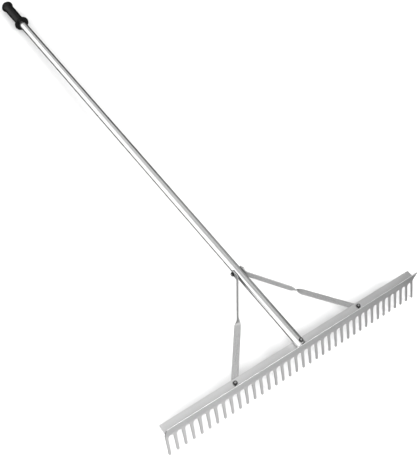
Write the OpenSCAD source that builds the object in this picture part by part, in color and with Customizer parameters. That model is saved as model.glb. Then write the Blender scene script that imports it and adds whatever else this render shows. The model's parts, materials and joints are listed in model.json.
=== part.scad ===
// Landscape rake: a wide aluminium comb head with a straight levelling edge,
// a tube handle, two twisted strap braces and a moulded grip.
//
// The pieces are drawn in the tool's own frame: X runs along the head, +Y runs from
// the head up the handle, +Z is the side of the straight edge, and the origin lies on
// the head's bend line, midway along the head. at_rest() then lays the whole tool on
// the ground, on its tooth tips and on the rim of the grip's guard.

/* [Head] */
// Number of teeth
tooth_count = 37; // [21:2:41]
// Distance from tooth to tooth
tooth_pitch = 25.4; // [24:0.2:28]
// Length of a tooth, from the bend line to its tip
tooth_len = 63.5; // [55:0.5:75]
// Width of a tooth below its root arch
tooth_root_w = 8.8; // [8:0.2:11]
// Width of a tooth at its tip
tooth_tip_w = 6.6; // [5:0.2:8]
// Forward lean of the teeth from the blade
tooth_lean = 26; // [15:1:35]
// Distance from the bend line to the top of the arches between the teeth
root_drop = 4; // [3:0.5:8]
// Height of the blade from the bend line to the straight edge
blade_h = 40; // [36:1:46]
// Thickness of the head's metal
sheet_t = 3.2; // [2.6:0.2:4]
// Height of the flange's upper face above the bend line
flange_z = 15.6; // [13:0.2:18]
// Reach of the flange behind the middle of the blade
flange_reach = 28; // [26:1:34]

/* [Handle] */
// Outside diameter of the tube
tube_d = 26.7; // [25:0.1:29]
// Wall of the tube
tube_wall = 1.7; // [1.2:0.1:3]
// Length from the blade to the tube's upper end
tube_len = 1761; // [1300:1:1900]
// Sideways place of the handle from the middle of the head
handle_x = -8.5; // [-20:0.5:20]

/* [Grip] */
// Length from the guard's face to the end of the bulb
grip_len = 134; // [115:0.5:180]
// Diameter of the hand piece
grip_d = 33.5; // [30:0.5:36]
// Diameter of the bulb at the end
bulb_d = 43.5; // [40:0.5:48]
// Length of the bulb along the handle
bulb_len = 24; // [20:1:32]
// Diameter of the guard
guard_d = 54.5; // [50:0.5:64]
// Thickness of the guard
guard_t = 7; // [5:0.5:10]

/* [Braces] */
// Width of the strap
strap_w = 19; // [16:0.5:25]
// Thickness of the strap
strap_t = 3; // [2:0.2:4]
// Height of the tie bolt above the bend line, along the handle
tie_y = 291; // [220:1:400]
// Sideways place of each brace's foot bolt from the middle of the head
foot_x = 230; // [150:1:232]
// Length of the quarter twist in each strap
twist_len = 32; // [26:1:45]
// Place of the twist's middle, as a share of the strap's free length
twist_share = 0.49; // [0.4:0.01:0.6]
// How far the strap bows in towards the handle at its twist
bow = 4; // [0:0.5:6]

/* [Fasteners] */
// Diameter of the bolts
bolt_d = 6.35; // [6:0.05:8]
// Width across the flats of heads and nuts
hex_af = 11.1; // [10:0.1:13]
// Height of a bolt head
head_h = 4.4; // [4:0.1:6]
// Height of the steel part of a lock nut
nut_h = 4.4; // [4:0.1:7]
// Height of the plastic collar of a lock nut
collar_h = 1.4; // [1.2:0.1:3]
// Outside diameter of a washer
washer_d = 16; // [14:0.5:17]
// Thickness of a washer
washer_t = 1; // [0.8:0.1:2]

/* [Hidden] */

$fn = 48;
// Gap left between faces that touch, and overlap of shapes that are fused
touch = 0.05;
fuse = 0.4;

// Head
half_t = sheet_t / 2;
head_len = (tooth_count - 1) * tooth_pitch + tooth_tip_w;
arch_r = (tooth_pitch - tooth_root_w) / 2;
arch_s = root_drop + arch_r;
tip_corner_r = 2.4;
flange_fillet = 2.5;

// Handle
tube_r = tube_d / 2;
handle_z = flange_z + tube_r + touch;
tube_start = half_t + 0.6;
handle_bolt_y = 12;

// Grip
grip_end_wall = 9.5;
grip_end = tube_len + grip_end_wall;
guard_y = grip_end - grip_len;
guard_edge_r = guard_t / 2;
bulb_r = bulb_d / 2;
bulb_y = grip_end - bulb_len / 2;
neck_r = 4;

// Braces
tab_x = tube_r + touch + strap_t / 2;
tab_end_y = tie_y + 10;
knee_y = tie_y - 17;
tab_corner_r = 3;
foot_y = 15.5;
foot_z = flange_z - sheet_t - touch - strap_t / 2;
foot_flat = 24;
twist_slices = 18;

// Fasteners
bolt_r = bolt_d / 2;
hole_r = bolt_r + 0.25;
thread_gap = 0.03;
nut_r = bolt_r + thread_gap;
hex_r = hex_af / sqrt(3);
rim_r = hex_af / 2 - 0.15;
collar_r = rim_r - 0.45;
bolt_end = 0.7;
nut_stack = nut_h + collar_h;
handle_head_z = flange_z - sheet_t - 2 * touch - washer_t;
handle_nut_z = handle_z + tube_r + touch;
tie_face = tab_x + strap_t / 2 + touch;
tie_seat = tie_face + washer_t + touch;
foot_head_z = foot_z - strap_t / 2 - touch;
foot_nut_z = flange_z + washer_t + 2 * touch;

// Resting pose: the corner of a tooth tip and the round rim of the guard both touch z = 0
tip_y = -tooth_len * sin(tooth_lean) + half_t * cos(tooth_lean);
tip_z = -tooth_len * cos(tooth_lean) - half_t * sin(tooth_lean);
rim_y = guard_y + guard_edge_r;
rim_z = handle_z - guard_d / 2 + guard_edge_r;
rest_rise = rim_z - tip_z;
rest_run = rim_y - tip_y;
rest_tilt = atan(rest_rise / rest_run) - asin(guard_edge_r / norm([rest_rise, rest_run]));
nose_y = -tooth_len * sin(tooth_lean) - half_t * cos(tooth_lean);
nose_z = -tooth_len * cos(tooth_lean) + half_t * sin(tooth_lean);
front_y = nose_y * cos(rest_tilt) + nose_z * sin(rest_tilt);
bulb_reach = norm([bulb_len / 2 * cos(rest_tilt), bulb_r * sin(rest_tilt)]);
back_y = bulb_y * cos(rest_tilt) + handle_z * sin(rest_tilt) + bulb_reach;
floor_z = tip_z * cos(rest_tilt) - tip_y * sin(rest_tilt);
middle_y = (front_y + back_y) / 2;

// Lays a piece drawn in the tool's frame on the ground, midway along its length
module at_rest() {
    translate([0, -middle_y, -floor_z])
        rotate([-rest_tilt, 0, 0])
            children();
}

// Tool-frame position of tooth i
function tooth_x(i) = (i - (tooth_count - 1) / 2) * tooth_pitch;

// Extrudes a (Y, Z) section along X, centred
module along_x(length) {
    translate([-length / 2, 0, 0])
        rotate([90, 0, 90])
            linear_extrude(height = length)
                children();
}

// ---------- Head ----------

// Outline of one tooth below the arch level, pointing down in (X, -s)
module tooth_outline() {
    half_root = tooth_root_w / 2;
    half_tip = tooth_tip_w / 2;
    corner_x = half_tip - tip_corner_r;
    corner_s = tooth_len - tip_corner_r;
    polygon([
        [-half_root, -arch_s + fuse], [half_root, -arch_s + fuse],
        [half_tip, -corner_s], [-half_tip, -corner_s]
    ]);
    translate([-corner_x, -tooth_len])
        square([2 * corner_x, tip_corner_r + fuse]);
    for (side = [-1, 1])
        translate([side * corner_x, -corner_s])
            circle(r = tip_corner_r);
}

// Web that joins the teeth, with a round arch over each gap
module web_outline() {
    difference() {
        translate([-head_len / 2, -arch_s])
            square([head_len, arch_s]);
        for (i = [0 : tooth_count - 2])
            translate([tooth_x(i) + tooth_pitch / 2, -arch_s])
                circle(r = arch_r);
    }
}

// The comb: web and teeth, one flat plate leaning forward from the bend line,
// with the two end teeth cut flush with the ends of the head
module comb() {
    rotate([-tooth_lean, 0, 0])
        rotate([90, 0, 0])
            linear_extrude(height = sheet_t, center = true)
                intersection() {
                    union() {
                        web_outline();
                        for (i = [0 : tooth_count - 1])
                            translate([tooth_x(i), 0])
                                tooth_outline();
                    }
                    translate([-head_len / 2, -tooth_len])
                        square([head_len, tooth_len]);
                }
}

// Round inside corner of radius r between +x and +y
module inside_corner(r) {
    difference() {
        square(r);
        translate([r, r])
            circle(r = r);
    }
}

// Section of the blade and its flange
module blade_section() {
    translate([-half_t, 0])
        square([sheet_t, blade_h]);
    circle(r = half_t);
    translate([0, flange_z - sheet_t])
        square([flange_reach, sheet_t]);
    translate([half_t, flange_z])
        inside_corner(flange_fillet);
    translate([half_t, flange_z - sheet_t])
        mirror([0, 1])
            inside_corner(flange_fillet);
}

// Bolt holes in the flange: the handle's and one for each brace
module flange_holes() {
    for (spot = [[handle_x, handle_bolt_y], [-foot_x, foot_y], [foot_x, foot_y]])
        translate([spot.x, spot.y, flange_z - 2 * sheet_t])
            cylinder(r = hole_r, h = 3 * sheet_t);
}

module rake_head() {
    color("silver")
        at_rest()
            difference() {
                union() {
                    along_x(head_len)
                        blade_section();
                    comb();
                }
                flange_holes();
            }
}

// ---------- Handle ----------

// Places a shape drawn along +Z onto the handle's axis at distance y from the bend line
module on_handle(y) {
    translate([handle_x, y, handle_z])
        rotate([-90, 0, 0])
            children();
}

module handle_tube() {
    color("gainsboro")
        at_rest()
            difference() {
                on_handle(tube_start)
                    cylinder(r = tube_r, h = tube_len - tube_start, $fn = 96);
                on_handle(tube_start - 1)
                    cylinder(r = tube_r - tube_wall, h = tube_len + 2, $fn = 96);
                translate([handle_x, handle_bolt_y, handle_z - tube_d])
                    cylinder(r = hole_r, h = 2 * tube_d);
                translate([handle_x - tube_d, tie_y, handle_z])
                    rotate([0, 90, 0])
                        cylinder(r = hole_r, h = 2 * tube_d);
            }
}

// Half section of the grip as (radius, distance from the guard's face)
module grip_section() {
    body_r = grip_d / 2;
    guard_rim = guard_d / 2 - guard_edge_r;
    square([body_r, grip_len - bulb_len / 2]);
    square([guard_rim, guard_t]);
    translate([guard_rim, guard_edge_r])
        circle(r = guard_edge_r);
    translate([body_r, guard_t])
        inside_corner(neck_r);
    intersection() {
        translate([0, grip_len - bulb_len / 2])
            scale([1, bulb_len / bulb_d])
                circle(r = bulb_r, $fn = 96);
        square([bulb_r + 1, grip_len + 1]);
    }
}

module handle_grip() {
    color("#1c1c1c")
        at_rest()
            on_handle(guard_y)
                difference() {
                    rotate_extrude($fn = 96)
                        grip_section();
                    translate([0, 0, -1])
                        cylinder(r = tube_r + touch, h = tube_len - guard_y + 1 + touch, $fn = 96);
                }
}

// ---------- Braces ----------

// Turns +X towards the line from p to q, keeping local Z as near upright as it can be
module aim(p, q) {
    run = q - p;
    translate(p)
        rotate([0, -asin(run.z / norm(run)), atan2(run.y, run.x)])
            children();
}

// Flat length of strap from p to q, on edge or lying flat
module strap_leg(p, q, on_edge) {
    length = norm(q - p);
    section = on_edge ? [strap_t, strap_w] : [strap_w, strap_t];
    aim(p, q)
        translate([-fuse / 2, -section.x / 2, -section.y / 2])
            cube([length + fuse, section.x, section.y]);
}

// Quarter turn of the strap from p, on edge, to q, lying flat. side sets which way it turns.
module strap_twist(p, q, side) {
    aim(p, q)
        rotate([0, 90, 0])
            rotate([0, 0, 90])
                linear_extrude(height = norm(q - p), twist = -side * 90, slices = twist_slices, $fn = 8)
                    square([strap_t, strap_w], center = true);
}

// Vertical round knee where the on-edge strap bends
module strap_knee(p) {
    translate([p.x, p.y, p.z - strap_w / 2])
        cylinder(r = strap_t / 2, h = strap_w);
}

// Flat tab against the tube, from the knee up past the tie bolt, with round corners
module strap_tab(knee) {
    length = tab_end_y - knee.y;
    translate([knee.x, knee.y, knee.z])
        rotate([90, 0, 90])
            linear_extrude(height = strap_t, center = true) {
                translate([0, -strap_w / 2])
                    square([length - tab_corner_r, strap_w]);
                translate([0, tab_corner_r - strap_w / 2])
                    square([length, strap_w - 2 * tab_corner_r]);
                for (edge = [-1, 1])
                    translate([length - tab_corner_r, edge * (strap_w / 2 - tab_corner_r)])
                        circle(r = tab_corner_r);
            }
}

// Flat foot under the flange, from the round nose at the bolt to the heel
module strap_foot(foot, heel) {
    translate([foot.x, foot.y, foot.z - strap_t / 2])
        cylinder(r = strap_w / 2, h = strap_t);
    strap_leg(foot, heel, false);
}

// Tie bolt hole through the tab and foot bolt hole through the foot
module strap_holes(knee, foot) {
    translate([knee.x - strap_w, tie_y, knee.z])
        rotate([0, 90, 0])
            cylinder(r = hole_r, h = 2 * strap_w);
    translate([foot.x, foot.y, foot.z - strap_w])
        cylinder(r = hole_r, h = 2 * strap_w);
}

// One brace. side is -1 for the left one and 1 for the right one.
module brace(side) {
    knee = [handle_x + side * tab_x, knee_y, handle_z];
    foot = [side * foot_x, foot_y, foot_z];
    run = [knee.x - foot.x, knee.y - foot.y, 0];
    heel = foot + foot_flat * run / norm(run);
    inward = side * [-run.y, run.x, 0] / norm(run);
    middle = heel + (1 - twist_share) * (knee - heel) + bow * inward;
    lower_end = middle - twist_len / 2 * (middle - heel) / norm(middle - heel);
    upper_end = middle + twist_len / 2 * (knee - middle) / norm(knee - middle);
    difference() {
        union() {
            strap_tab(knee);
            strap_knee(knee);
            strap_leg(upper_end, knee, true);
            strap_twist(upper_end, lower_end, side);
            strap_leg(heel, lower_end, false);
            strap_foot(foot, heel);
        }
        strap_holes(knee, foot);
    }
}

module left_brace() {
    color("darkgray")
        at_rest()
            brace(-1);
}

module right_brace() {
    color("darkgray")
        at_rest()
            brace(1);
}

// ---------- Fasteners ----------

// Hexagon bolt along +Z: the head's face lies at z = 0 and the shank runs up
module hex_bolt(grip) {
    translate([0, 0, -head_h])
        cylinder(r = hex_r, h = head_h, $fn = 6);
    translate([0, 0, -fuse])
        cylinder(r = bolt_r, h = grip + nut_stack + bolt_end + fuse);
}

module washer() {
    difference() {
        cylinder(r = washer_d / 2, h = washer_t);
        translate([0, 0, -1])
            cylinder(r = hole_r, h = washer_t + 2);
    }
}

// Steel part of a lock nut, sitting on z = 0: a hexagon with a round rim for the collar
module nut_body() {
    difference() {
        union() {
            cylinder(r = hex_r, h = nut_h, $fn = 6);
            cylinder(r = rim_r, h = nut_stack);
        }
        translate([0, 0, -1])
            cylinder(r = nut_r, h = nut_h + 2);
        translate([0, 0, nut_h])
            cylinder(r = collar_r + touch, h = collar_h + 1);
    }
}

// Plastic collar inside the rim of a lock nut
module nut_collar() {
    translate([0, 0, nut_h + touch])
        difference() {
            cylinder(r = collar_r, h = collar_h - touch);
            translate([0, 0, -1])
                cylinder(r = nut_r, h = collar_h + 2);
        }
}

// Handle bolt: upwards through the flange and the tube
module at_handle_bolt(z) {
    at_rest()
        translate([handle_x, handle_bolt_y, z])
            children();
}

module handle_bolt() {
    color("dimgray")
        at_handle_bolt(handle_head_z)
            hex_bolt(handle_nut_z - handle_head_z);
}

module handle_bolt_washer() {
    color("lightgray")
        at_handle_bolt(handle_head_z + touch)
            washer();
}

module handle_bolt_nut() {
    color("dimgray")
        at_handle_bolt(handle_nut_z)
            nut_body();
}

module handle_nut_collar() {
    color("black")
        at_handle_bolt(handle_nut_z)
            nut_collar();
}

// Tie bolt: from right to left through both tabs and the tube
module at_tie_bolt(from_axis) {
    at_rest()
        translate([handle_x + from_axis, tie_y, handle_z])
            rotate([0, -90, 0])
                children();
}

module tie_bolt() {
    color("dimgray")
        at_tie_bolt(tie_seat)
            hex_bolt(2 * tie_seat);
}

module tie_bolt_washers() {
    color("lightgray") {
        at_tie_bolt(tie_face + washer_t)
            washer();
        at_tie_bolt(-tie_face)
            washer();
    }
}

module tie_bolt_nut() {
    color("dimgray")
        at_tie_bolt(-tie_seat)
            nut_body();
}

module tie_nut_collar() {
    color("black")
        at_tie_bolt(-tie_seat)
            nut_collar();
}

// Foot bolts: upwards through each brace's foot and the flange
module at_foot_bolts(z) {
    at_rest()
        for (side = [-1, 1])
            translate([side * foot_x, foot_y, z])
                children();
}

module foot_bolts() {
    color("dimgray")
        at_foot_bolts(foot_head_z)
            hex_bolt(foot_nut_z - foot_head_z);
}

module foot_bolt_washers() {
    color("lightgray")
        at_foot_bolts(flange_z + touch)
            washer();
}

module foot_bolt_nuts() {
    color("dimgray")
        at_foot_bolts(foot_nut_z)
            nut_body();
}

module foot_nut_collars() {
    color("black")
        at_foot_bolts(foot_nut_z)
            nut_collar();
}

rake_head();
handle_tube();
handle_grip();
left_brace();
right_brace();
handle_bolt();
handle_bolt_washer();
handle_bolt_nut();
handle_nut_collar();
tie_bolt();
tie_bolt_washers();
tie_bolt_nut();
tie_nut_collar();
foot_bolts();
foot_bolt_washers();
foot_bolt_nuts();
foot_nut_collars();
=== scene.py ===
"""Looks for the landscape rake.

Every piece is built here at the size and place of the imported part. Shapes are drawn in the tool's
own frame, in millimetres: X along the head, Y up the handle, Z towards the straight edge, with the
origin on the head's bend line. TOOL carries that frame to the row frame, in metres.
"""

import json
import math

import bpy
from mathutils import Matrix, Vector


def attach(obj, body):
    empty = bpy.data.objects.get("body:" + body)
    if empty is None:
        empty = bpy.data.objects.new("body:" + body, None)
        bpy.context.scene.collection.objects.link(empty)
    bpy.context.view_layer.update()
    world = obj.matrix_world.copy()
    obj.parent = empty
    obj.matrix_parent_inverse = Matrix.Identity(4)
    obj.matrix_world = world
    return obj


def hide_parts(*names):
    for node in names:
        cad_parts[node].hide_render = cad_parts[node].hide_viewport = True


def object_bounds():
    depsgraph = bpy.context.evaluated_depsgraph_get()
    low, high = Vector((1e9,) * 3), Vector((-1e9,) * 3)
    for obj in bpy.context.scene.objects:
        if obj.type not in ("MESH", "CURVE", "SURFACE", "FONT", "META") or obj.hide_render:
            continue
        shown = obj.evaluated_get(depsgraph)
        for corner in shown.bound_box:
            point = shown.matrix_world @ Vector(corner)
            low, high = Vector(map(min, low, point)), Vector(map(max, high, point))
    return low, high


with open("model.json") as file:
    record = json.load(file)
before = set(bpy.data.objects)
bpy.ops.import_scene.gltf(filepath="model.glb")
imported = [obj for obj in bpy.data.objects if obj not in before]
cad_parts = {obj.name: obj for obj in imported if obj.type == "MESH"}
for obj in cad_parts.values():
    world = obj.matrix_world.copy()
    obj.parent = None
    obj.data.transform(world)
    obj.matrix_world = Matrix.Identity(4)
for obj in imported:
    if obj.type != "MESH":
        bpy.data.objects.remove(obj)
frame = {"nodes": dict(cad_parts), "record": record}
cad_low, cad_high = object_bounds()

MM = 0.001
QUARTER = math.pi / 2
SHARP_ANGLE = math.radians(36)
FIT_GAP = 0.05  # between the parts that the tie bolt clamps
AXIS_R = 0.01  # smallest radius, where a turned shape closes at its axis

# ---------- Head sizes ----------
TOOTH_COUNT = 37
TOOTH_PITCH = 25.4
TOOTH_LEN = 63.5
TOOTH_ROOT_W = 8.8
TOOTH_TIP_W = 6.6
TIP_CORNER_R = 2.4
TOOTH_LEAN = math.radians(26)
ROOT_DROP = 4
BLADE_H = 40
SHEET_T = 3.2
FLANGE_FILLET = 2.5
BEND_FILLET = 1.6
STUB = 2  # how far the blade's section runs on past the bend, down to the comb
RIM = 0.35  # rounding of the cut edges
CORNER_R = 0.6
EDGE_R = 1.5  # rounding of the straight edge
RIM_STEPS = 3
ARCH_STEPS = 16

# ---------- Handle and grip sizes ----------
TUBE_WALL = 1.7
TUBE_END_R = 0.4
BORE_R = 13.4
BORE_DEPTH = 8
BORE_CHAMFER = 0.6
GUARD_T = 7
BODY_R = 16.75
BODY_BULGE = 0.35
FLARE = 0.6  # how much the hand piece widens into the bulb
FLARE_LEN = 6
BULB_R = 21.75
BULB_HALF = 12
NECK_R = 4
TURN_STEPS = 96

# ---------- Brace sizes ----------
STRAP_W = 19
STRAP_T = 3
STRAP_EDGE_R = 0.7
TAB_CORNER_R = 3
TAB_LEN = 27
KNEE_REACH = 7  # how far before and after a corner its bend starts and stops
HEEL_REACH = 5
FOOT_FLAT = 24
TWIST_LEN = 38
TWIST_SHARE = 0.49  # where the twist is, from the knee to the heel
BOW = 4  # how far the strap bows inwards at the twist
STRAP_STEP = 0.8
BEND_STEPS = 8

# ---------- Fastener sizes ----------
HEX_AF = 11.1  # across the flats
HEX_CORNER_R = HEX_AF / math.sqrt(3)
CHAMFER_R = HEX_AF / 2 * 0.93
BEARING_R = HEX_AF / 2 * 0.95
CHAMFER_SLOPE = math.tan(math.radians(30))
CHAMFER_STEPS = 6
BOLT_R = 3.175
THREAD_PITCH = 1.27
THREAD_DEPTH = 0.55
THREAD_STEPS = 48
POINT_DROP = 0.7  # how much the bolt narrows at its end
HEAD_H = 4.4
NUT_H = 4.4
NUT_TURN = math.radians(17)
COLLAR_H = 1.4
COLLAR_R = HEX_AF / 2 - 0.6
BOLT_END = 0.7  # how far the bolt stands out of its nut
WASHER_R = 8
WASHER_T = 1
HEX_STEPS = 60

# ---------- Stage sizes, in metres ----------
FLOOR_HALF = 8
CAMERA_PLACE = (-0.9774, -1.3096, 1.7235)
CAMERA_TURN = (38.143, -9.131, -36.245)
CAMERA_LENS = 54.97
SENSOR_W = 36


def tool_frame():
    """The tool's frame in the row frame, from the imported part's own mounts."""
    mounts = {m["name"]: m for m in frame["record"]["mounts"]}
    up = Vector(mounts["levelling_edge"]["axis"])
    along = Vector(mounts["handle_clip"]["axis"])
    origin = Vector(mounts["levelling_edge"]["pos_m"]) - up * BLADE_H * MM
    origin.x = 0
    turn = Matrix((along.cross(up), along, up)).transposed().to_4x4()
    return Matrix.Translation(origin) @ turn


TOOL = tool_frame()


def tool_box(node):
    """(lowest corner, highest corner) of a CAD node in the tool's frame, in millimetres."""
    to_tool = TOOL.inverted()
    points = [to_tool @ v.co / MM for v in frame["nodes"][node].data.vertices]
    low = Vector([min(p[i] for p in points) for i in range(3)])
    high = Vector([max(p[i] for p in points) for i in range(3)])
    return low, high


# ---------- Shapes: each returns (vertices, faces, grain points) ----------


def blend(t):
    """Smooth step from 0 to 1."""
    t = min(1, max(0, t))
    return t * t * (3 - 2 * t)


def rounded(corners, steps=5):
    """Closed 2D outline through corners [(x, y, radius), ...], each turned into an arc."""
    outline = []
    for i, (x, y, r) in enumerate(corners):
        here = Vector((x, y))
        if r == 0:
            outline.append(here)
            continue
        before = Vector(corners[i - 1][:2]) - here
        after = Vector(corners[(i + 1) % len(corners)][:2]) - here
        before.normalize()
        after.normalize()
        half = before.angle(after) / 2
        reach = r / math.tan(half)
        centre = here + (before + after).normalized() * r / math.sin(half)
        start = here + before * reach - centre
        sweep = start.angle_signed(here + after * reach - centre)
        for k in range(steps + 1):
            turn = Matrix.Rotation(-sweep * k / steps, 2)
            outline.append(centre + turn @ start)
    return outline


def inset(outline, amounts):
    """The outline moved inwards, edge i (from point i to point i + 1) by amounts[i]."""
    count = len(outline)
    normals = []
    for i in range(count):
        edge = outline[(i + 1) % count] - outline[i]
        normals.append(Vector((-edge.y, edge.x)).normalized())
    moved = []
    for i in range(count):
        a, b = normals[i - 1], normals[i]
        da, db = amounts[i - 1], amounts[i]
        det = a.x * b.y - a.y * b.x
        if abs(det) < 0.02:
            moved.append(outline[i] + b * max(da, db))
            continue
        shift = Vector(((da * b.y - db * a.y) / det, (db * a.x - da * b.x) / det))
        moved.append(outline[i] + shift)
    return moved


def bands(rings, count, closed=False):
    """Faces between rings of count points each. closed joins the last ring to the first."""
    faces = []
    for i in range(rings if closed else rings - 1):
        low = i * count
        high = (i + 1) % rings * count
        for k in range(count):
            n = (k + 1) % count
            faces.append([low + k, low + n, high + n, high + k])
    return faces


def prism(outline, depth, rim, open_edges=()):
    """Anticlockwise outline extruded along local Z, centred, with rounded rims.

    Edges whose start is in open_edges meet another shape, so their rims stay square.
    """
    count = len(outline)
    rings = []
    for k in range(RIM_STEPS + 1):
        angle = QUARTER * k / RIM_STEPS
        step_in = rim * (1 - math.sin(angle))
        amounts = [0 if i in open_edges else step_in for i in range(count)]
        height = depth / 2 - rim * (1 - math.cos(angle))
        rings.append(([p.to_3d() for p in inset(outline, amounts)], height))
    levels = [(ring, -h) for ring, h in rings] + [(ring, h) for ring, h in reversed(rings)]
    points = [Vector((p.x, p.y, z)) for ring, z in levels for p in ring]
    bottom = list(reversed(range(count)))
    top = [len(points) - count + i for i in range(count)]
    faces = [bottom] + bands(len(levels), count) + [top]
    return points, faces, [p.copy() for p in points]


def revolve(profile, segments, shape=None, closed=False):
    """Profile [(radius, height), ...] turned about local Z, going up on the outside.

    shape(angle, radius, height) may change the radius. closed joins the last point to the first.
    """
    points = []
    for r, z in profile:
        for k in range(segments):
            angle = 2 * math.pi * k / segments
            radius = shape(angle, r, z) if shape else r
            points.append(Vector((radius * math.cos(angle), radius * math.sin(angle), z)))
    faces = bands(len(profile), segments, closed)
    return points, faces, [Vector((p.z, p.x, p.y)) for p in points]


def placed(shape, matrix):
    """The shape moved by the matrix; its grain stays with it."""
    points, faces, grain = shape
    return [matrix @ p for p in points], faces, grain


def joined(shapes):
    """Several shapes as one."""
    points, faces, grain = [], [], []
    for shape_points, shape_faces, shape_grain in shapes:
        faces += [[len(points) + i for i in f] for f in shape_faces]
        points += shape_points
        grain += shape_grain
    return points, faces, grain


def piece(name, shape, material, slot, *nodes):
    """Adds the shape as an object that stands for the CAD nodes."""
    points, faces, grain = shape
    mesh = bpy.data.meshes.new(name)
    mesh.from_pydata([TOOL @ (p * MM) for p in points], [], faces)
    attribute = mesh.attributes.new("grain", "FLOAT_VECTOR", "POINT")
    attribute.data.foreach_set("vector", [c * MM for p in grain for c in p])
    mesh.validate()
    mesh.shade_smooth()
    mesh.set_sharp_from_angle(angle=SHARP_ANGLE)
    mesh.materials.append(material)
    obj = bpy.data.objects.new(name, mesh)
    bpy.context.scene.collection.objects.link(obj)
    weighted = obj.modifiers.new("even_normals", "WEIGHTED_NORMAL")
    weighted.keep_sharp = True
    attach(obj, "root")
    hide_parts(*nodes)


# ---------- Head ----------


def tooth_x(i):
    """Middle of tooth i along the head."""
    return (i - (TOOTH_COUNT - 1) / 2) * TOOTH_PITCH


def comb_outline(half_len):
    """Outline of the web and the teeth below the bend, in (X, -distance from the bend line).

    The first edge is the top one, where the plate meets the bend.
    """
    arch_r = (TOOTH_PITCH - TOOTH_ROOT_W) / 2
    arch_s = ROOT_DROP + arch_r
    half_tip = TOOTH_TIP_W / 2
    corners = [(half_len, -STUB, 0), (-half_len, -STUB, 0)]
    for i in range(TOOTH_COUNT):
        x = tooth_x(i)
        if i > 0:
            corners.append((x - TOOTH_ROOT_W / 2, -arch_s, 0))
        corners.append((x - half_tip, -TOOTH_LEN, TIP_CORNER_R))
        corners.append((x + half_tip, -TOOTH_LEN, TIP_CORNER_R))
        if i < TOOTH_COUNT - 1:
            corners.append((x + TOOTH_ROOT_W / 2, -arch_s, 0))
            arch_x = x + TOOTH_PITCH / 2
            for k in range(1, ARCH_STEPS):
                angle = math.pi * (1 - k / ARCH_STEPS)
                rise = arch_r * math.sin(angle)
                corners.append((arch_x + arch_r * math.cos(angle), rise - arch_s, 0))
    return rounded(corners)


def blade_outline(reach, flange_z):
    """Section of the blade, the flange and the bend, in (Y, Z), with the stub's end last."""
    h = SHEET_T / 2
    miter = h * math.tan(TOOTH_LEAN / 2)
    down = Vector((-math.sin(TOOTH_LEAN), -math.cos(TOOTH_LEAN)))
    front = Vector((-math.cos(TOOTH_LEAN), math.sin(TOOTH_LEAN))) * h
    stub_front = front + down * STUB
    stub_back = down * STUB - front
    under = flange_z - SHEET_T
    corners = [
        (stub_back.x, stub_back.y, 0),
        (h, -miter, h),
        (h, under, FLANGE_FILLET),
        (reach, under, CORNER_R),
        (reach, flange_z, CORNER_R),
        (h, flange_z, FLANGE_FILLET),
        (h, BLADE_H, EDGE_R),
        (-h, BLADE_H, EDGE_R),
        (-h, miter, BEND_FILLET),
        (stub_front.x, stub_front.y, 0),
    ]
    return rounded(corners)


def rake_head(material):
    """One aluminium extrusion with the teeth cut and bent forward."""
    low, high = tool_box("rake_head")
    washer_low = tool_box("foot_bolt_washers")[0]
    length = high.x - low.x
    section = blade_outline(high.y, washer_low.z)
    across = Matrix(((0, 0, 1, 0), (1, 0, 0, 0), (0, 1, 0, 0), (0, 0, 0, 1)))
    blade = placed(prism(section, length, RIM, open_edges=[len(section) - 1]), across)
    upright = Matrix.Rotation(QUARTER, 4, "X")
    lean = Matrix.Rotation(-TOOTH_LEAN, 4, "X")
    comb = prism(comb_outline(length / 2), SHEET_T, RIM, open_edges=[0])
    comb = placed(comb, lean @ upright)
    points, faces, _ = joined([blade, comb])
    piece("comb_head", (points, faces, points), material, "head_metal", "rake_head")


# ---------- Handle ----------


def on_handle(y):
    """Carries a shape turned about local Z onto the handle's axis at distance y."""
    low, high = tool_box("handle_tube")
    centre = (low + high) / 2
    place = Matrix.Translation((centre.x, y, centre.z))
    return place @ Matrix.Rotation(-QUARTER, 4, "X")


def handle_tube(material):
    """Round tube with softened ends."""
    low, high = tool_box("handle_tube")
    outer = (high.x - low.x) / 2
    inner = outer - TUBE_WALL
    length = high.y - low.y
    corners = [(inner, 0), (outer, 0), (outer, length), (inner, length)]
    outline = rounded([(r, z, TUBE_END_R) for r, z in corners])
    tube = revolve([tuple(p) for p in outline], TURN_STEPS, closed=True)
    piece("tube", placed(tube, on_handle(low.y)), material, "tube_metal", "handle_tube")


def arc(centre, size, start, stop, steps):
    """Points (radius, height) on an ellipse about centre, from the angle start to stop."""
    points = []
    for k in range(steps + 1):
        angle = start + (stop - start) * k / steps
        points.append((centre[0] + size[0] * math.cos(angle), centre[1] + size[1] * math.sin(angle)))
    return points


def grip_profile(length, guard_r):
    """Bore, guard, neck, hand piece and bulb, as (radius, distance from the guard's face)."""
    edge = GUARD_T / 2
    neck_z = GUARD_T + NECK_R
    bulb_z = length - BULB_HALF
    bulb_start = math.asin((BODY_R + FLARE) / BULB_R) - QUARTER
    flare_z = bulb_z + BULB_HALF * math.sin(bulb_start) - FLARE_LEN
    profile = [(BORE_R, BORE_DEPTH), (BORE_R, BORE_CHAMFER), (BORE_R + BORE_CHAMFER, 0)]
    profile += arc((guard_r - edge, edge), (edge, edge), -QUARTER, QUARTER, 12)
    profile += arc((BODY_R + NECK_R, neck_z), (NECK_R, NECK_R), -QUARTER, -math.pi, 8)
    for k in range(1, 14):
        t = k / 14
        profile.append((BODY_R + BODY_BULGE * math.sin(math.pi * t), neck_z + (flare_z - neck_z) * t))
    for k in range(7):
        t = k / 7
        profile.append((BODY_R + FLARE * t * t, flare_z + FLARE_LEN * t))
    profile += arc((0, bulb_z), (BULB_R, BULB_HALF), bulb_start, QUARTER, 24)
    return profile


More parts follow.
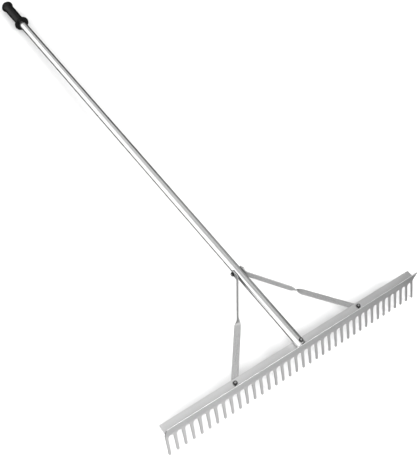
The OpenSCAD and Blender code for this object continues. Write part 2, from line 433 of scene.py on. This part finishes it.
def handle_grip(material):
    """Moulded grip: guard, hand piece and flattened bulb."""
    low, high = tool_box("handle_grip")
    profile = grip_profile(high.y - low.y, (high.x - low.x) / 2)
    grip = placed(revolve(profile, TURN_STEPS), on_handle(low.y))
    piece("grip", grip, material, "grip_plastic", "handle_grip")


# ---------- Braces ----------


def brace_corners(side):
    """The strap's centre line as corners: tab end, knee, twist, heel and nose."""
    strap_low, strap_high = tool_box("left_brace" if side < 0 else "right_brace")
    washer_low, washer_high = tool_box("foot_bolt_washers")
    tube_low, tube_high = tool_box("handle_tube")
    handle = (tube_low + tube_high) / 2
    tab_out = (tube_high.x - tube_low.x) / 2 + FIT_GAP + STRAP_T / 2
    knee = Vector((handle.x + side * tab_out, strap_high.y - TAB_LEN, handle.z))
    foot_x = side * (washer_high.x - WASHER_R)
    foot_y = (washer_low.y + washer_high.y) / 2
    foot = Vector((foot_x, foot_y, strap_low.z + STRAP_T / 2))
    run = Vector((knee.x - foot.x, knee.y - foot.y, 0)).normalized()
    heel = foot + FOOT_FLAT * run
    inward = side * Vector((-run.y, run.x, 0))
    twist = heel + (1 - TWIST_SHARE) * (knee - heel) + BOW * inward
    tab_end = Vector((knee.x, strap_high.y, knee.z))
    nose = foot - STRAP_W / 2 * run
    return [tab_end, knee, twist, heel, nose]


def smooth_line(corners, reach):
    """Points along the corners, each inner corner rounded over its reach."""
    points = []
    start = corners[0]
    for i in range(1, len(corners)):
        last = i == len(corners) - 1
        to_corner = (corners[i] - start).normalized()
        stop = corners[i] if last else corners[i] - to_corner * reach[i]
        count = max(2, round((stop - start).length / STRAP_STEP))
        points += [start.lerp(stop, k / count) for k in range(count)]
        if last:
            points.append(stop)
            break
        leave = corners[i] + (corners[i + 1] - corners[i]).normalized() * reach[i]
        for k in range(BEND_STEPS):
            t = k / BEND_STEPS
            points.append(stop.lerp(corners[i], t).lerp(corners[i].lerp(leave, t), t))
        start = leave
    return points


def strap_section(half_w):
    """Section of the strap as (across the width, through the thickness)."""
    r = min(STRAP_EDGE_R, half_w * 0.9)
    h = STRAP_T / 2
    return rounded([(half_w, -h, r), (half_w, h, r), (-half_w, h, r), (-half_w, -h, r)], steps=3)


def end_half_width(distance, corner_r):
    """Half the strap's width at a distance from an end with round corners."""
    short = corner_r - min(distance, corner_r)
    return STRAP_W / 2 - corner_r + math.sqrt(max(corner_r**2 - short**2, 0.01))


def distances(line):
    """How far along the line each of its points is."""
    lengths = [0]
    for a, b in zip(line, line[1:]):
        lengths.append(lengths[-1] + (b - a).length)
    return lengths


def strap(side):
    """One twisted strap: on edge from the tab to the twist, then lying flat to the nose."""
    corners = brace_corners(side)
    line = smooth_line(corners, [0, KNEE_REACH, TWIST_LEN / 2, HEEL_REACH, 0])
    lengths = distances(line)
    total = lengths[-1]
    twist_corner = corners[2]
    twist_at = min(range(len(line)), key=lambda i: (line[i] - twist_corner).length)
    points, grain = [], []
    for i, centre in enumerate(line):
        along = (line[min(i + 1, len(line) - 1)] - line[max(i - 1, 0)]).normalized()
        level = Vector((0, 0, 1)).cross(along).normalized()
        upright = along.cross(level)
        turned = QUARTER * blend((lengths[i] - lengths[twist_at]) / TWIST_LEN + 0.5)
        width = upright * math.cos(turned) - side * level * math.sin(turned)
        depth = width.cross(along)
        half_w = min(end_half_width(lengths[i], TAB_CORNER_R),
                     end_half_width(total - lengths[i], STRAP_W / 2))
        for p in strap_section(half_w):
            points.append(centre + width * p.x + depth * p.y)
            grain.append(Vector((lengths[i], p.x, p.y)))
    ring = len(points) // len(line)
    ends = [list(range(ring)), [len(points) - 1 - k for k in range(ring)]]
    return points, ends + bands(len(line), ring), grain


def braces(material):
    """The two straps."""
    piece("strap_left", strap(-1), material, "brace_metal", "left_brace")
    piece("strap_right", strap(1), material, "brace_metal", "right_brace")


# ---------- Fasteners ----------


def hexagon(angle, radius, height):
    """Keeps a radius inside the hexagon."""
    return min(radius, HEX_AF / 2 / math.cos(angle % (math.pi / 3) - math.pi / 6))


def chamfer(z, rise):
    """Cone from a circle inside the flats, at height z, out to the hexagon's corners."""
    rim = []
    for k in range(CHAMFER_STEPS + 1):
        step_out = (HEX_CORNER_R - CHAMFER_R) * k / CHAMFER_STEPS
        rim.append((CHAMFER_R + step_out, z + rise * step_out * CHAMFER_SLOPE))
    return rim


def bolt(clamp):
    """Hexagon bolt: the head bears on z = 0, its nut sits at z = clamp, thread beyond."""
    end = clamp + NUT_H + COLLAR_H + BOLT_END
    thread_start = clamp + NUT_H - 1
    head = [(AXIS_R, -HEAD_H)] + chamfer(-HEAD_H, 1)
    head += [(HEX_CORNER_R, -0.35), (BEARING_R, -0.3), (BEARING_R, 0), (BOLT_R, 0)]

    def threaded(angle, radius, height):
        """Cuts the thread's groove into the shank, beyond its start."""
        if height < thread_start:
            return radius
        wave = (height / THREAD_PITCH - angle / (2 * math.pi)) % 1
        return min(radius, BOLT_R - THREAD_DEPTH * abs(2 * wave - 1))

    shank = [(BOLT_R, 0), (BOLT_R, thread_start - 0.01)]
    for k in range(THREAD_STEPS + 1):
        z = thread_start + (end - thread_start) * k / THREAD_STEPS
        shank.append((min(BOLT_R, BOLT_R - POINT_DROP + (end - z)), z))
    shank += [(BOLT_R * 0.7, end), (AXIS_R, end)]
    return joined([revolve(head, HEX_STEPS, hexagon), revolve(shank, HEX_STEPS, threaded)])


def nut():
    """Steel part of a lock nut: hexagon with a round crimped rim above it."""
    bore = BOLT_R + 0.03
    rim_r = HEX_AF / 2 - 0.15
    lip_r = COLLAR_R + 0.05
    top = NUT_H + COLLAR_H
    profile = [(bore, 0.5), (bore + 0.5, 0)] + chamfer(0, 1)
    profile += [(HEX_CORNER_R, NUT_H - 1.1), (HEX_CORNER_R, NUT_H - 1)]
    profile += reversed(chamfer(NUT_H - 0.3, -1))
    profile += [(rim_r, NUT_H + 0.3), (rim_r, top - 0.5), (rim_r - 0.15, top - 0.15)]
    profile += [(rim_r - 0.35, top), (lip_r, top - 0.15), (lip_r, NUT_H), (bore, NUT_H)]
    return revolve(profile, HEX_STEPS, hexagon, closed=True)


def collar():
    """Nylon ring inside the nut's rim, slightly domed."""
    bore = BOLT_R + 0.05
    top = NUT_H + COLLAR_H
    profile = rounded([(bore, NUT_H + 0.05, 0), (COLLAR_R, NUT_H + 0.05, 0),
                       (COLLAR_R, top - 0.2, 0.3), (bore, top - 0.1, 0.4)], steps=4)
    return revolve([tuple(p) for p in profile], HEX_STEPS, closed=True)


def washer():
    """Flat washer on z = 0 with softened edges."""
    bore = BOLT_R + 0.25
    corners = [(bore, 0, 0.25), (WASHER_R, 0, 0.3), (WASHER_R, WASHER_T, 0.3), (bore, WASHER_T, 0.25)]
    return revolve([tuple(p) for p in rounded(corners, steps=3)], HEX_STEPS, closed=True)


def fastener(name, places, clamp, washers, nodes, materials):
    """A bolt with its nut, nylon ring and washers at each place.

    A place puts the head's seat at its origin and the nut along its Z. washers are heights.
    nodes and materials are in the order bolt, washer, nut, ring.
    """
    bolt_node, washer_node, nut_node, collar_node = nodes
    bolt_metal, washer_metal, nut_metal, ring_plastic = materials
    up = Matrix.Translation((0, 0, clamp))
    turn = Matrix.Rotation(NUT_TURN, 4, "Z")
    bolts = joined([placed(bolt(clamp), p) for p in places])
    nuts = joined([placed(nut(), p @ up @ turn) for p in places])
    rings = joined([placed(collar(), p @ up) for p in places])
    flats = []
    for p in places:
        for height in washers:
            flats.append(placed(washer(), p @ Matrix.Translation((0, 0, height))))
    piece(name + "_hex_bolt", bolts, bolt_metal, "bolt_steel", bolt_node)
    piece(name + "_lock_nut", nuts, nut_metal, "nut_steel", nut_node)
    piece(name + "_nylon_ring", rings, ring_plastic, "collar_plastic", collar_node)
    piece(name + "_flat_washer", joined(flats), washer_metal, "washer_steel", washer_node)


def fasteners(materials):
    """The handle bolt, the tie bolt and the two foot bolts."""
    low, high = tool_box("handle_bolt")
    seat = low.z + HEAD_H
    middle = (low + high) / 2
    place = Matrix.Translation((middle.x, middle.y, seat))
    washer_low = tool_box("handle_bolt_washer")[0]
    fastener("handle", [place], tool_box("handle_bolt_nut")[0].z - seat, [washer_low.z - seat],
             ["handle_bolt", "handle_bolt_washer", "handle_bolt_nut", "handle_nut_collar"],
             materials)

    low, high = tool_box("tie_bolt")
    seat = high.x - HEAD_H
    middle = (low + high) / 2
    leftwards = Matrix.Rotation(-QUARTER, 4, "Y")
    place = Matrix.Translation((seat, middle.y, middle.z)) @ leftwards
    clamp = seat - tool_box("tie_bolt_nut")[1].x
    fastener("tie", [place], clamp, [FIT_GAP, clamp - WASHER_T - FIT_GAP],
             ["tie_bolt", "tie_bolt_washers", "tie_bolt_nut", "tie_nut_collar"],
             materials)

    low, high = tool_box("foot_bolts")
    seat = low.z + HEAD_H
    washer_low, washer_high = tool_box("foot_bolt_washers")
    foot_x = washer_high.x - WASHER_R
    foot_y = (washer_low.y + washer_high.y) / 2
    places = [Matrix.Translation((side * foot_x, foot_y, seat)) for side in (-1, 1)]
    fastener("foot", places, tool_box("foot_bolt_nuts")[0].z - seat, [washer_low.z - seat],
             ["foot_bolts", "foot_bolt_washers", "foot_bolt_nuts", "foot_nut_collars"],
             materials)


# ---------- Materials ----------

# Heights of the relief are in metres.
LINE_STRETCH = 250  # length of the drawn lines over their spacing
LINE_DEPTH = 0.00003
SCUFF_DEPTH = 0.00004
STAIN_DEPTH = 0.00004
PEBBLE_DEPTH = 0.00006
WAVE_DEPTH = 0.0003
FLOOR_DEPTH = 0.0001


class Paint:
    """The node tree of a material or a world, with short ways to add nodes to it."""

    def __init__(self, owner):
        self.owner = owner
        self.owner.use_nodes = True
        self.tree = self.owner.node_tree

    def node(self, kind, **settings):
        """Adds a shader node."""
        made = self.tree.nodes.new("ShaderNode" + kind)
        for key, value in settings.items():
            setattr(made, key, value)
        return made

    def link(self, source, target):
        """Joins two sockets."""
        self.tree.links.new(source, target)

    def grain(self, *scale):
        """The piece's grain coordinates in metres, times a scale along each direction."""
        where = self.node("Attribute", attribute_name="grain")
        mapping = self.node("Mapping")
        mapping.inputs["Scale"].default_value = scale
        self.link(where.outputs["Vector"], mapping.inputs["Vector"])
        return mapping.outputs["Vector"]

    def noise(self, place, scale, detail=4, roughness=0.55):
        """Noise from about 0.3 to 0.7."""
        made = self.node("TexNoise")
        made.inputs["Scale"].default_value = scale
        made.inputs["Detail"].default_value = detail
        made.inputs["Roughness"].default_value = roughness
        self.link(place, made.inputs["Vector"])
        return made.outputs["Fac"]

    def cells(self, place, scale):
        """A random value for each cell of a crystal pattern."""
        made = self.node("TexVoronoi")
        made.inputs["Scale"].default_value = scale
        self.link(place, made.inputs["Vector"])
        return made.outputs["Color"]

    def span(self, source, low, high, out_low, out_high):
        """Maps low..high to out_low..out_high, held at the ends."""
        made = self.node("MapRange", interpolation_type="SMOOTHSTEP")
        made.inputs["From Min"].default_value = low
        made.inputs["From Max"].default_value = high
        made.inputs["To Min"].default_value = out_low
        made.inputs["To Max"].default_value = out_high
        self.link(source, made.inputs["Value"])
        return made.outputs["Result"]

    def times(self, a, b):
        """Two values multiplied."""
        made = self.node("Math", operation="MULTIPLY")
        self.link(a, made.inputs[0])
        self.link(b, made.inputs[1])
        return made.outputs[0]

    def mix(self, factor, a, b, mode="MIX"):
        """Mixes two colours. Each is a constant or a socket."""
        made = self.node("Mix", data_type="RGBA", blend_type=mode)
        color_a, color_b = made.inputs[6], made.inputs[7]
        for target, value in ((made.inputs["Factor"], factor), (color_a, a), (color_b, b)):
            if isinstance(value, bpy.types.NodeSocket):
                self.link(value, target)
            else:
                target.default_value = value
        return made.outputs[2]

    def bump(self, height, distance, strength=1, under=None):
        """Raises the surface by height times distance."""
        made = self.node("Bump")
        made.inputs["Strength"].default_value = strength
        made.inputs["Distance"].default_value = distance
        self.link(height, made.inputs["Height"])
        if under:
            self.link(under, made.inputs["Normal"])
        return made.outputs["Normal"]

    def finish(self, color, roughness, normal, metallic=0):
        """Joins the finished colour, roughness and normal to the surface."""
        surface = self.tree.nodes["Principled BSDF"]
        self.link(color, surface.inputs["Base Color"])
        self.link(roughness, surface.inputs["Roughness"])
        self.link(normal, surface.inputs["Normal"])
        surface.inputs["Metallic"].default_value = metallic
        return self.owner


def grey(value):
    """A neutral grey as RGBA."""
    return (value, value, value, 1)


def aluminium(name, tone, roughness, line_width, marks, metallic=1):
    """Aluminium with fine lines along the grain, dull patches and short scuffs.

    tone is the grey of the metal, line_width the lines' spacing in metres, marks is how strongly
    the scuffs show, and metallic is lower for a dull, oxidised surface.
    """
    paint = Paint(bpy.data.materials.new(name))
    across = 1 / line_width
    along = across / LINE_STRETCH
    lines = paint.noise(paint.grain(along, across, across), 1, detail=5, roughness=0.65)
    patches = paint.noise(paint.grain(9, 26, 26), 1, detail=3)
    scuffs = paint.noise(paint.grain(260, 1700, 1700), 1, detail=2, roughness=0.4)
    scuffed = paint.span(scuffs, 0.62, 0.72, 0, marks)
    color = paint.mix(paint.span(patches, 0.3, 0.7, 0, 1), grey(tone * 0.93), grey(tone))
    color = paint.mix(paint.span(lines, 0.35, 0.65, 0, 0.5), color, grey(tone * 1.1))
    color = paint.mix(scuffed, color, grey(min(tone * 1.25, 0.95)))
    dull = paint.mix(paint.span(lines, 0.3, 0.7, 0, 1), grey(roughness * 0.82), grey(roughness * 1.2))
    dull = paint.mix(paint.span(patches, 0.35, 0.7, 0, 0.4), dull, grey(roughness * 1.45))
    normal = paint.bump(lines, LINE_DEPTH, 0.5)
    normal = paint.bump(scuffs, SCUFF_DEPTH, marks * 0.5, normal)
    return paint.finish(color, dull, normal, metallic)


def zinc(name, tone, roughness):
    """Zinc-plated steel with a faint crystal mottle."""
    paint = Paint(bpy.data.materials.new(name))
    crystals = paint.cells(paint.grain(1, 1, 1), 900)
    stains = paint.noise(paint.grain(1, 1, 1), 160, detail=4)
    color = paint.mix(paint.span(crystals, 0, 1, 0, 1), grey(tone * 0.9), grey(tone * 1.08))
    color = paint.mix(paint.span(stains, 0.45, 0.7, 0, 0.45), color, grey(tone * 0.6))
    dull = paint.mix(paint.span(stains, 0.35, 0.65, 0, 1), grey(roughness * 0.8), grey(roughness * 1.4))
    normal = paint.bump(stains, STAIN_DEPTH, 0.5)
    return paint.finish(color, dull, normal, metallic=1)


def moulded(name, tone, roughness, pebble, shine):
    """Dark moulded plastic: slight pebble, dust and rubbed patches. shine is its specular level."""
    paint = Paint(bpy.data.materials.new(name))
    fine = paint.noise(paint.grain(1, 1, 1), pebble, detail=3)
    broad = paint.noise(paint.grain(1, 1, 1), 55, detail=4)
    dust = paint.noise(paint.grain(1, 1, 1), 1400, detail=1)
    color = paint.mix(paint.span(broad, 0.35, 0.65, 0, 1), grey(tone), grey(tone * 1.6))
    color = paint.mix(paint.span(dust, 0.68, 0.76, 0, 0.06), color, grey(0.35))
    dull = paint.mix(paint.span(broad, 0.4, 0.7, 0, 1), grey(roughness * 0.85), grey(roughness * 1.5))
    normal = paint.bump(fine, PEBBLE_DEPTH, 0.35)
    normal = paint.bump(broad, WAVE_DEPTH, 0.2, normal)
    paint.tree.nodes["Principled BSDF"].inputs["Specular IOR Level"].default_value = shine
    return paint.finish(color, dull, normal)


# ---------- Stage ----------


def floor():
    """Wide pale floor under the rake."""
    mesh = bpy.data.meshes.new("floor")
    signs = ((-1, -1), (1, -1), (1, 1), (-1, 1))
    corners = [(x * FLOOR_HALF, y * FLOOR_HALF, cad_low.z) for x, y in signs]
    mesh.from_pydata(corners, [], [(0, 1, 2, 3)])
    paint = Paint(bpy.data.materials.new("floor"))
    where = paint.node("TexCoord").outputs["Object"]
    broad = paint.noise(where, 1.5, detail=3)
    color = paint.mix(paint.span(broad, 0.3, 0.7, 0, 1), grey(0.9), grey(0.92))
    dull = paint.span(broad, 0.3, 0.7, 0.75, 0.85)
    normal = paint.bump(paint.noise(where, 400, detail=2), FLOOR_DEPTH, 0.2)
    mesh.materials.append(paint.finish(color, dull, normal))
    obj = bpy.data.objects.new("floor", mesh)
    bpy.context.scene.collection.objects.link(obj)
    obj.visible_glossy = False


def area_light(name, place, aim, size, power):
    """Soft lamp of size (along X, across) at place, turned towards aim."""
    lamp = bpy.data.lights.new(name, "AREA")
    lamp.shape = "RECTANGLE"
    lamp.size, lamp.size_y = size
    lamp.energy = power
    obj = bpy.data.objects.new(name, lamp)
    bpy.context.scene.collection.objects.link(obj)
    obj.location = place
    obj.rotation_euler = (Vector(aim) - Vector(place)).to_track_quat("-Z", "Y").to_euler()


def panel(paint, behind, tone, edges, mode="MIX"):
    """Lays a studio panel of one grey over what is behind it, with soft edges.

    Each edge is (axis, absent, full): along that axis the panel is absent and full at those values.
    """
    share = None
    for axis, absent, full in edges:
        if absent < full:
            edge = paint.span(axis, absent, full, 0, 1)
        else:
            edge = paint.span(axis, full, absent, 1, 0)
        share = paint.times(share, edge) if share else edge
    return paint.mix(share, behind, grey(tone), mode)


def sky():
    """Studio surroundings, met by light and reflections; the camera itself sees a white backdrop.

    x, y and z are the direction looked in: right, back and up.
    """
    world = bpy.data.worlds.new("studio")
    bpy.context.scene.world = world
    paint = Paint(world)
    where = paint.node("SeparateXYZ")
    paint.link(paint.node("TexCoord").outputs["Generated"], where.inputs["Vector"])
    x, y, z = where.outputs

    # Low down: a light sweep in front and darkness behind. Above: a white tent.
    low = panel(paint, grey(0.94), 0.72, [(y, -0.85, -0.5)])
    low = panel(paint, low, 0.05, [(y, -0.1, 0.3)])
    around = panel(paint, low, 1.21, [(z, -0.1, 0.3)])

    # A grey band low in front, so that the teeth stand out when they are seen from the front.
    around = panel(paint, around, 0.4, [(y, 0.15, -0.1), (z, 0.15, 0.35), (z, 0.75, 0.6)])

    # A lamp panel high in front, met by the rounded straight edge, and a dark patch overhead.
    around = panel(paint, around, 3.3, [(y, 0.0, -0.2), (z, 0.6, 0.75), (x, 0.0, 0.25)])
    around = panel(paint, around, 0.3, [(z, 0.91, 0.96)])

    # Darkness low at the back and along the right, for the dark lines beside the tube's white band.
    around = panel(paint, around, 0.03, [(y, 0.66, 0.78), (z, 0.6, 0.45)])
    shade = paint.times(paint.span(x, 0.34, 0.76, 0, 1), paint.span(x, 0.86, 0.97, 1, 0.4))
    around = paint.mix(shade, around, grey(0.06), "MULTIPLY")

    # Grey panels: low at the back right for the tube's right side, high on the left for its middle.
    around = panel(paint, around, 0.7, [(y, 0.3, 0.4), (z, -0.1, 0.05), (z, 0.68, 0.55),
                                        (y, 0.6, 0.46), (x, 0.45, 0.6)])
    around = panel(paint, around, 0.75, [(y, 0.0, 0.2), (x, 0.2, 0.0), (z, 0.3, 0.5)])

    # Bright panels at the back left and on the left wall, which draw the tube's white band.
    around = panel(paint, around, 2.2, [(y, 0.5, 0.75), (x, -0.1, -0.35), (z, -0.1, 0.1)])
    around = panel(paint, around, 2.4, [(x, -0.5, -0.75), (z, -0.75, -0.5), (y, 0.0, 0.2),
                                        (z, 0.92, 0.8)], "LIGHTEN")

    around = paint.mix(paint.node("LightPath").outputs["Is Camera Ray"], around, grey(1))
    paint.link(around, paint.tree.nodes["Background"].inputs["Color"])


def camera():
    """Looks down on the rake from its left front corner, as the photograph does."""
    lens = bpy.data.cameras.new("camera")
    lens.lens = CAMERA_LENS
    lens.sensor_width = SENSOR_W
    obj = bpy.data.objects.new("camera", lens)
    bpy.context.scene.collection.objects.link(obj)
    obj.location = CAMERA_PLACE
    obj.rotation_euler = [math.radians(a) for a in CAMERA_TURN]
    bpy.context.scene.camera = obj


def build():
    """Makes every piece, the stage, the light and the camera."""
    rake_head(aluminium("extruded_aluminium", tone=0.66, roughness=0.36, line_width=0.0004, marks=0.35))
    handle_tube(aluminium("drawn_aluminium", tone=0.57, roughness=0.24, line_width=0.0003, marks=0.2))
    handle_grip(moulded("glossy_black_grip", tone=0.003, roughness=0.22, pebble=500, shine=0.1))
    braces(aluminium("aluminium_strap", tone=0.35, roughness=0.26, line_width=0.0003, marks=0.3,
                     metallic=0.5))
    bolt_metal = zinc("plated_steel", tone=0.36, roughness=0.3)
    nut_metal = zinc("dark_steel", tone=0.03, roughness=0.35)
    washer_metal = zinc("bright_zinc", tone=0.5, roughness=0.3)
    ring_plastic = moulded("dark_nylon", tone=0.02, roughness=0.45, pebble=1500, shine=0.4)
    fasteners([bolt_metal, washer_metal, nut_metal, ring_plastic])
    floor()
    sky()
    area_light("front", place=(-1.8, -1.8, 2.4), aim=(0, -0.2, 0), size=(2.4, 2.4), power=85)
    area_light("strip", place=(1.2, -2.3, 2.2), aim=(1.2, -0.9, 0), size=(3, 0.8), power=22)
    bpy.context.scene.view_settings.view_transform = "Standard"
    camera()


build()
